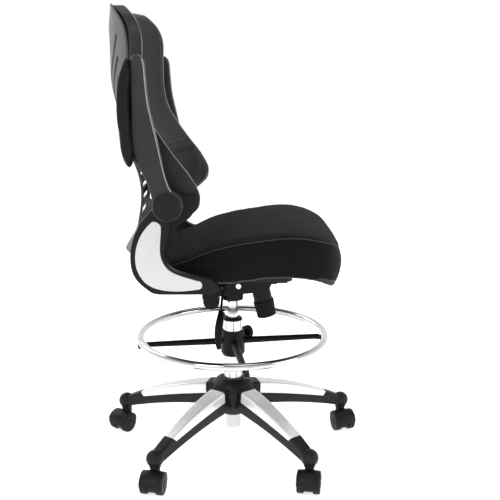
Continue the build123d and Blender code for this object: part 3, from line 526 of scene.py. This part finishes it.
def tube(name, points, radius, closed=False, sides=10):
    """A round bead along points."""
    line = [Vector(p) for p in points]
    count = len(line)
    verts = []
    side = None
    for i, point in enumerate(line):
        before = line[i - 1] if closed or i else line[i]
        after = line[(i + 1) % count] if closed or i < count - 1 else line[i]
        ahead = (after - before).normalized()
        if side is None:
            side = ahead.orthogonal().normalized()
        side = (side - ahead * side.dot(ahead)).normalized()
        other = ahead.cross(side)
        for k in range(sides):
            turn = 2 * pi * k / sides
            verts.append(point + radius * (cos(turn) * side + sin(turn) * other))
    faces = strips(count, sides)
    last = (count - 1) * sides
    if closed:
        # the bead meets its start with whatever twist is left over
        shift = min(range(sides), key=lambda k: (verts[last] - verts[k]).length)
        for k in range(sides):
            n = (k + 1) % sides
            faces.append((last + k, last + n, (n + shift) % sides, (k + shift) % sides))
    else:
        faces.append(tuple(reversed(range(sides))))
        faces.append(tuple(range(last, count * sides)))
    piece = mesh_piece(name, verts, faces)
    tidy(piece)
    return piece


PRESSURE = 4.0
LAST_FRAME = 20


def inflate(piece, voxel, cap, still=None):
    """Cloth simulation: the piece swells, no point by more than cap; still(normals) in 0..1 holds it."""
    remesh = piece.modifiers.new("remesh", "REMESH")
    remesh.mode = "VOXEL"
    remesh.voxel_size = voxel
    apply_modifiers(piece)
    count = len(piece.data.vertices)
    start = np.zeros(count * 3)
    piece.data.vertices.foreach_get("co", start)
    start = start.reshape(-1, 3)
    normals = np.array([v.normal for v in piece.data.vertices])
    cloth = piece.modifiers.new("cloth", "CLOTH")
    cloth.settings.use_pressure = True
    cloth.settings.uniform_pressure_force = PRESSURE
    cloth.settings.effector_weights.gravity = 0
    cloth.settings.tension_stiffness = 30
    cloth.settings.compression_stiffness = 20
    cloth.settings.quality = 4
    cloth.collision_settings.use_collision = False
    scene = bpy.context.scene
    for step in range(1, LAST_FRAME + 1):
        scene.frame_set(step)
    graph = bpy.context.evaluated_depsgraph_get()
    end = np.array([v.co for v in piece.evaluated_get(graph).data.vertices])
    piece.modifiers.clear()
    scene.frame_set(1)
    move = end - start
    size = np.linalg.norm(move, axis=1, keepdims=True)
    move *= np.minimum(1.0, cap / np.maximum(size, 1e-9))
    if still is not None:
        move *= (1 - still(normals))[:, None]
    piece.data.vertices.foreach_set("co", (start + move).ravel())
    piece.data.update()
    smooth = piece.modifiers.new("smooth", "SMOOTH")
    smooth.factor = 0.5
    smooth.iterations = 3
    subdivide = piece.modifiers.new("subdivide", "SUBSURF")
    subdivide.levels = 1
    subdivide.render_levels = 1
    apply_modifiers(piece)
    shade_smooth(piece)


def settle(piece, points, lift):
    """The points moved to the nearest places on the piece, lift above its surface."""
    tree = BVHTree.FromPolygons([v.co for v in piece.data.vertices],
                                [tuple(p.vertices) for p in piece.data.polygons])
    placed = []
    for point in points:
        where, normal, _, _ = tree.find_nearest(Vector(point))
        placed.append(where + normal * lift)
    return placed


LOOKS = build_materials()
SLOT_OF = {part["node"]: part["material_slot"] for part in frame["record"]["subparts"]}
for node_name, node_object in frame["nodes"].items():
    node_object.data.materials.clear()
    node_object.data.materials.append(LOOKS[SLOT_OF[node_name]])

make_camera()
make_stage()

# ------------------------------------------------------------------ seat cushion
SEAT_LOW, SEAT_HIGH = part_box("seat_cushion")
SEAT_MIDDLE = 0.130                       # widest place, along X
# Heights along X: the crown in the middle, the seam round the edge, and the underside.
SEAT_CROWN = [(-0.200, 0.523), (-0.150, 0.538), (-0.109, 0.552), (-0.060, 0.574), (0.000, 0.591),
              (0.051, 0.600), (0.100, 0.606), (0.136, 0.608), (0.173, 0.605), (0.210, 0.596),
              (0.240, 0.582), (0.262, 0.556)]
SEAT_SEAM = [(-0.200, 0.520), (-0.150, 0.534), (-0.109, 0.548), (-0.060, 0.570), (0.000, 0.587),
             (0.051, 0.596), (0.100, 0.602), (0.136, 0.604), (0.173, 0.601), (0.210, 0.591),
             (0.240, 0.576), (0.262, 0.552)]
SEAT_BASE = [(-0.200, 0.495), (-0.020, 0.495), (0.022, 0.498), (0.086, 0.506), (0.138, 0.507),
             (0.175, 0.502), (0.205, 0.494), (0.228, 0.481), (0.250, 0.468), (0.270, 0.463)]
PAN_RECESS = 0.003                        # the cover stops this far above the pan's underside
PIPING_RADIUS = 0.0014
HEM_RADIUS = 0.0016


def seat_plan(count):
    """Plan outline: round-cornered, squarer at the rear than at the front."""
    half = SEAT_HIGH.y - 0.004
    points = []
    for turn in np.linspace(0, 2 * pi, 1440, endpoint=False):
        c, s = cos(turn), sin(turn)
        if c > 0:
            reach, power = SEAT_HIGH.x - 0.006 - SEAT_MIDDLE, 3
        else:
            reach, power = SEAT_MIDDLE - SEAT_LOW.x - 0.004, 5
        points.append((SEAT_MIDDLE + reach * np.sign(c) * abs(c) ** (2 / power),
                       half * np.sign(s) * abs(s) ** (2 / power)))
    return evenly(points, count)


def seat_half_width(plan, x):
    """Half of the plan's width at x."""
    right = plan[plan[:, 1] >= 0]
    order = np.argsort(right[:, 0])
    return np.maximum(np.interp(x, right[order, 0], right[order, 1]), 1e-4)


def make_seat():
    """Crowned cushion with a seam round it, a bulging band below the seam, and a flat underside."""
    plan = seat_plan(220)
    normal = outwards(plan)
    centre = np.array([0.03, 0.0])
    rings = []
    for share in (0.0, 0.15, 0.3, 0.45, 0.6, 0.72, 0.82, 0.89, 0.94, 0.97, 0.99):
        spot = centre + share * (plan - centre)
        across = np.abs(spot[:, 1]) / seat_half_width(plan, spot[:, 0])
        seam = smooth_rows(SEAT_SEAM, spot[:, 0])
        crown = (1 - np.minimum(across, 1) ** 4) ** 0.7
        rings.append(np.column_stack([spot, seam + (smooth_rows(SEAT_CROWN, spot[:, 0]) - seam) * crown]))
    seam = smooth_rows(SEAT_SEAM, plan[:, 0])
    base = smooth_rows(SEAT_BASE, plan[:, 0])
    bulge = 0.003 + 0.006 * np.maximum(normal[:, 0], 0) ** 2
    for drop in (0.0, 0.08, 0.2, 0.35, 0.5, 0.65, 0.8, 0.9, 0.97, 1.0):
        out = bulge * np.sin(pi * drop ** 0.8) - 0.002 - 0.007 * drop ** 8
        spot = plan + normal * out[:, None]
        rings.append(np.column_stack([spot, seam - (seam - base) * drop]))
    for share in (0.94, 0.8, 0.5, 0.0):
        spot = centre + share * (plan - centre)
        rings.append(np.column_stack([spot, smooth_rows(SEAT_BASE, spot[:, 0]) + PAN_RECESS]))
    cushion = ring_skin("seat_cover", rings)
    inflate(cushion, voxel=0.006, cap=0.003, still=lambda n: np.clip(-n[:, 2] * 1.4, 0, 1))
    dress(cushion, "seat", "seat_fabric", ("seat_cushion",))
    edge = settle(cushion, np.column_stack([plan - normal * 0.001, seam]), 0.0006)
    # a real welt along the seam; its lighter grey is a painted highlight
    highlight_piping = tube("seat_highlight_piping", edge, PIPING_RADIUS, closed=True)
    dress(highlight_piping, "seat", "seat_fabric", look="highlight_piping")
    highlight_hem = settle(cushion, np.column_stack([plan - normal * 0.006, base]), 0.0004)
    # a real welt along the lower edge; its lighter grey is a painted highlight
    welt = tube("seat_highlight_hem", highlight_hem, HEM_RADIUS, closed=True)
    dress(welt, "seat", "seat_fabric", look="highlight_hem")


make_seat()

# ------------------------------------------------------------------ back: net, padded panel, bands, a bead with a painted highlight
# The sitting surface at a few heights: X at the side edges and in the middle.
FACE_SIDE = [(0.625, -0.128), (0.660, -0.089), (0.700, -0.072), (0.740, -0.089), (0.790, -0.126),
             (0.830, -0.154), (0.870, -0.177), (0.920, -0.189), (0.980, -0.191), (1.040, -0.190),
             (1.080, -0.198), (1.118, -0.219)]
FACE_MIDDLE = [(0.625, -0.172), (0.660, -0.157), (0.700, -0.150), (0.740, -0.155), (0.790, -0.180),
               (0.830, -0.205), (0.870, -0.228), (0.920, -0.243), (0.980, -0.250), (1.040, -0.252),
               (1.080, -0.254), (1.118, -0.257)]
FACE_HALF = 0.243                         # half of the width between the side edges
NET_CORNER = 0.058
NET_THICKNESS = 0.0016
PANEL_CORNER = 0.034
FRAME_CORNERS = (0.042, 0.069)            # at the bottom, at the top
BEADING_RADIUS = 0.0014
FRAME_LOW, FRAME_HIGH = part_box("back_frame")
NET_LOW, NET_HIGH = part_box("back_mesh")
PAD_LOW, PAD_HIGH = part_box("lumbar_pad")


def face_x(y, z):
    """X of the sitting surface."""
    middle = smooth_rows(FACE_MIDDLE, z)
    return middle + (smooth_rows(FACE_SIDE, z) - middle) * (np.asarray(y) / FACE_HALF) ** 2


def corner_outline(half, low, high, low_corner, high_corner, count):
    """Front outline in (Y, Z): a rectangle with round corners."""
    points = []
    for side, top, first in ((1, 0, -90), (1, 1, 0), (-1, 1, 90), (-1, 0, 180)):
        radius = high_corner if top else low_corner
        y, z = side * (half - radius), high - radius if top else low + radius
        for turn in range(first, first + 91, 6):
            points.append((y + radius * cos(radians(turn)), z + radius * sin(radians(turn))))
    return evenly(points, count)


def make_net():
    """Stretched net across the frame's opening, drawn a little flatter than the frame."""
    low, high = NET_LOW.z - 0.006, NET_HIGH.z + 0.003
    half, corner = NET_HIGH.y + 0.002, NET_CORNER
    rows, columns = 72, 96
    verts = []
    for z in np.linspace(low, high, rows):
        over = min(corner, max(0.0, z - (high - corner)))
        wide = half - corner + (corner ** 2 - over ** 2) ** 0.5
        y = np.linspace(-wide, wide, columns)
        taut = 0.004 * (1 - (y / wide) ** 2) * sin(pi * (z - low) / (high - low))
        x = face_x(y, z) - 0.001 + taut
        verts += list(zip(x, y, [z] * columns))
    net = mesh_piece("back_net", verts, strips(rows, columns, closed=False))
    solid = net.modifiers.new("thickness", "SOLIDIFY")
    solid.thickness = NET_THICKNESS
    solid.offset = 0
    apply_modifiers(net)
    tidy(net)
    dress(net, "seat", "mesh_fabric", ("back_mesh",))


def make_lumbar():
    """Padded panel that fills the lower part of the frame and runs a little way behind its rim."""
    low, high = PAD_LOW.z - 0.002, PAD_HIGH.z
    half, corner = PAD_HIGH.y + 0.002, PANEL_CORNER
    rows, columns = 40, 90
    front, back = [], []
    for z in np.linspace(low, high, rows):
        under = min(corner, max(0.0, low + corner - z))
        wide = half - corner + (corner ** 2 - under ** 2) ** 0.5
        y = np.linspace(-wide, wide, columns)
        up = 2 * (z - low) / (high - low) - 1
        full = np.sqrt((1 - np.abs(y / wide) ** 24) * (1 - abs(up) ** 14))
        face = face_x(y, z)
        front += list(zip(face - 0.004 + 0.009 * full, y, [z] * columns))
        back += list(zip(face - 0.004 - 0.006 * full - 0.001, y, [z] * columns))
    faces = []
    size = rows * columns
    for quad in strips(rows, columns, closed=False):
        faces += [quad, tuple(size + i for i in reversed(quad))]
    border = list(range(columns)) + [r * columns + columns - 1 for r in range(1, rows)]
    border += [(rows - 1) * columns + c for c in range(columns - 2, -1, -1)]
    border += [r * columns for r in range(rows - 2, 0, -1)]
    for a, b in zip(border, border[1:] + border[:1]):
        faces.append((a, size + a, size + b, b))
    panel = mesh_piece("lumbar_cover", front + back, faces)
    tidy(panel)
    inflate(panel, voxel=0.004, cap=0.002)
    dress(panel, "seat", "lumbar_fabric", ("lumbar_pad",))


def make_band(name, height, width, proud, slot):
    """A flat band across the back, wrapped from side to side."""
    half = NET_HIGH.y + 0.001
    verts = []
    profile = [(-0.5, -0.6), (-0.5, 0.5), (-0.38, 0.9), (0, 1.05), (0.38, 0.9), (0.5, 0.5), (0.5, -0.6)]
    stations = np.linspace(-half, half, 80)
    for y in stations:
        for up, out in profile:
            z = height + up * width
            verts.append((float(face_x(y, z)) + out * proud, y, z))
    n = len(profile)
    faces = strips(len(stations), n)
    faces += [tuple(range(n)), tuple(range((len(stations) - 1) * n, len(stations) * n))]
    band = mesh_piece(name, verts, faces)
    tidy(band, 50)
    dress(band, "seat", slot)


def make_highlight_bead():
    """A thin bead round the front of the frame, coloured light grey as a painted highlight along its edge.
    """
    outline = corner_outline(FRAME_HIGH.y - 0.0022, FRAME_LOW.z + 0.002, FRAME_HIGH.z - 0.002,
                             *FRAME_CORNERS, 420)
    points = [(float(face_x(y, z)) + 0.0009, y, z) for y, z in outline]
    bead = tube("frame_highlight_bead", points, BEADING_RADIUS, closed=True)
    # the bead's light grey is a painted highlight along the frame's front edge
    dress(bead, "seat", "frame_plastic", look="bead")


make_net()
make_lumbar()
make_band("panel_band", PAD_HIGH.z - 0.001, 0.008, 0.007, "lumbar_fabric")
make_band("net_band", PAD_HIGH.z + 0.018, 0.010, 0.0035, "mesh_fabric")
make_highlight_bead()

# ------------------------------------------------------------------ arms and their pads
ARM_LOW, ARM_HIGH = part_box("arm_left")
# Rounded edge of an arm: (inset from the outline, depth below the face).
EDGE = [(0.0055, 0.0), (0.0045, 0.0001), (0.0034, 0.0004), (0.0024, 0.0010), (0.0015, 0.0019),
        (0.0008, 0.0030), (0.0003, 0.0043), (0.0, 0.0060)]
ARM_BEAD_RADIUS = 0.0012
# X of a pad's front and rear surfaces along Z.
PAD_FRONT = [(0.772, -0.207), (0.790, -0.203), (0.840, -0.2065), (0.905, -0.2085), (0.935, -0.2075),
             (0.975, -0.2035), (1.002, -0.206)]
PAD_REAR = [(0.772, -0.2145), (0.779, -0.2185), (0.790, -0.2215), (0.835, -0.227), (0.895, -0.231),
            (0.930, -0.229), (0.980, -0.2195), (0.994, -0.2155), (1.002, -0.2110)]
PAD_CORNER = 0.030


def side_outline(node, count):
    """The outline of a node's outermost flat side, in (X, Z), evenly stepped."""
    mesh = bmesh.new()
    mesh.from_mesh(frame["nodes"][node].data)
    bmesh.ops.remove_doubles(mesh, verts=mesh.verts, dist=WELD)
    reach = max(abs(v.co.y) for v in mesh.verts)
    face = {f for f in mesh.faces if all(abs(abs(v.co.y) - reach) < 1e-5 for v in f.verts)}
    ahead = {}
    for edge in mesh.edges:
        if sum(f in face for f in edge.link_faces) == 1:
            a, b = edge.verts
            ahead.setdefault(a, []).append(b)
            ahead.setdefault(b, []).append(a)
    start = max(ahead, key=lambda v: v.co.z)
    loop, before, here = [start], None, start
    while True:
        after = next(v for v in ahead[here] if v is not before)
        if after is start:
            break
        loop.append(after)
        before, here = here, after
    points = [(v.co.x, v.co.z) for v in loop]
    mesh.free()
    return evenly(points, count)


def make_arm(side_name, side):
    """Moulded arm with rounded edges and a thin bead along its front edge, coloured light grey as a painted
    highlight.
    """
    node = "arm_" + side_name
    outline = side_outline(node, 300)
    normal = outwards(outline)
    for _ in range(4):
        normal = normal + np.roll(normal, 1, axis=0) + np.roll(normal, -1, axis=0)
        normal /= np.linalg.norm(normal, axis=1)[:, None]
    inner, outer = ARM_LOW.y, ARM_HIGH.y
    levels = [(inset, outer - depth) for inset, depth in EDGE]
    levels += [(inset, inner + depth) for inset, depth in reversed(EDGE)]
    verts = []
    count = len(outline)
    for inset, y in levels:
        verts += [(x, side * y, z) for x, z in outline - normal * inset]
    faces = strips(len(levels), count)
    faces += [tuple(range(count)), tuple(range((len(levels) - 1) * count, len(levels) * count))]
    arm = mesh_piece(node + "_shell", verts, faces)
    tidy(arm)
    weigh(arm, 60)
    dress(arm, "armrest_" + side_name, "arm_plastic", (node,))
    lip = outline - normal * 0.0012
    front = [i for i in range(count) if normal[i, 0] > 0.25 and 0.722 < outline[i, 1] < 0.998]
    order = sorted(front, key=lambda i: outline[i, 1])
    points = [(lip[i, 0], side * (outer - 0.0016), lip[i, 1]) for i in order]
    # a real bead along the front edge; its light grey look is a painted highlight
    bead = tube(node + "_bead", points, ARM_BEAD_RADIUS, sides=8)
    dress(bead, "armrest_" + side_name, "arm_plastic", look="bead")


def make_arm_pad(side_name, side):
    """Soft pad on the outer edge of the arm."""
    node = "arm_pad_" + side_name
    low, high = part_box(node)
    middle = (low.y + high.y) / 2
    outline = corner_outline((high.y - low.y) / 2 - 0.001, low.z + 0.001, high.z - 0.001,
                             PAD_CORNER, PAD_CORNER, 160)
    centre = np.array([0.0, (low.z + high.z) / 2])
    rings = []
    shares = (0.0, 0.2, 0.4, 0.6, 0.75, 0.86, 0.93, 0.97, 0.99, 1.0)
    for table, order in ((PAD_REAR, shares), (PAD_FRONT, shares[-2::-1])):
        for share in order:
            spot = centre + share * (outline - centre)
            full = (1 - share ** 14) ** 0.5
            back, face = smooth_rows(PAD_REAR, spot[:, 1]), smooth_rows(PAD_FRONT, spot[:, 1])
            edge = 0.45 * back + 0.55 * face
            x = edge + (smooth_rows(table, spot[:, 1]) - edge) * full
            rings.append(np.column_stack([x, spot[:, 0] + middle, spot[:, 1]]))
    pad = ring_skin("arm_cushion_" + side_name, rings)
    inflate(pad, voxel=0.0035, cap=0.0015)
    dress(pad, "armrest_" + side_name, "arm_pad", (node,))


UP = np.array([0.0, 0.0, 1.0])
# Section of a wheel's cap: (radius, height above the axle's end).
CAP = [(0.0, -0.003), (0.0095, -0.003), (0.0095, 0.0002), (0.0088, 0.0010), (0.0070, 0.0015),
       (0.0040, 0.0018), (0.0, 0.0019)]


def axle_line(number):
    """Middle, direction and half length of a caster's axle."""
    points = np.array([v.co for v in frame["nodes"][f"caster_{number}_axle"].data.vertices])
    centre = (points.min(axis=0) + points.max(axis=0)) / 2
    axis = np.linalg.svd(points - centre, full_matrices=False)[2][0]
    return centre, axis, np.abs((points - centre) @ axis).max()


def make_wheel_caps(number):
    """A small domed cap on the outer face of both wheels of a caster."""
    centre, axis, half = axle_line(number)
    side = np.array([-axis[1], axis[0], 0.0])
    for end, name in ((1, "a"), (-1, "b")):
        rings = []
        for radius, out in CAP:
            turns = np.linspace(0, 2 * pi, 32, endpoint=False)
            ring = centre + end * (half - 0.0006 + out) * axis
            rings.append(ring + radius * (np.cos(turns)[:, None] * side + np.sin(turns)[:, None] * UP))
        cap = ring_skin(f"caster_{number}_cap_{name}", rings)
        cap.data.set_sharp_from_angle(angle=radians(50))
        dress(cap, f"caster_{number}_roller", "wheel_nylon")


# Half of a hood's section, in mm: (across the wheels, from the axle).
FENDER = [(-29.0, 13.0), (-29.2, 18.0), (-28.8, 22.0), (-27.8, 25.4), (-25.6, 28.0), (-22.0, 29.6),
          (-14.0, 30.4), (0.0, 30.7)]
FENDER_WALL = 1.2
FENDER_SWEEP = (2, 172)                   # degrees round the axle, from the trailing side


def make_fender(number):
    """A rounded hood over the top and the outer sides of both wheels."""
    centre, axis, _ = axle_line(number)
    trail = np.array([-axis[1], axis[0], 0.0])
    stem = np.array([v.co for v in frame["nodes"][f"caster_{number}_stem"].data.vertices]).mean(axis=0)
    if (centre - stem) @ trail < 0:
        trail = -trail
    outer = FENDER + [(-a, r) for a, r in FENDER[-2::-1]]
    inner = [(a * 0.955, r - FENDER_WALL) for a, r in reversed(outer)]
    section = np.array(outer + inner) * MM
    turns = np.radians(np.linspace(*FENDER_SWEEP, 36))
    verts = []
    for turn in turns:
        ahead = cos(turn) * trail + sin(turn) * UP
        for across, reach in section:
            verts.append(centre + across * axis + reach * ahead)
    n = len(section)
    faces = strips(len(turns), n)
    half = n // 2
    for start in (0, (len(turns) - 1) * n):
        for k in range(half - 1):
            faces.append((start + k, start + k + 1, start + n - 2 - k, start + n - 1 - k))
    fender = mesh_piece(f"caster_{number}_fender", verts, faces)
    tidy(fender, 40)
    dress(fender, f"caster_{number}", "caster_nylon")


for side_name, side in SIDES:
    make_arm(side_name, side)
    make_arm_pad(side_name, side)
for caster in CASTERS:
    make_wheel_caps(caster)
    make_fender(caster)

# Nodes that get rounded edges, and how wide.
ROUNDED = {"bracket_left": 0.0015, "bracket_right": 0.0015, "back_shell": 0.0012, "mech_housing": 0.0012,
           "mech_top_plate": 0.001, "leg_covers": 0.001, "column_bush": 0.001, "lever_paddle": 0.0015,
           "tension_knob": 0.001, "ring_clamp_knob": 0.001, "arm_caps": 0.0006}
ROUNDED.update({f"caster_{n}_hood": 0.001 for n in CASTERS})
for node_name, edge in ROUNDED.items():
    rounded(node_name, edge)
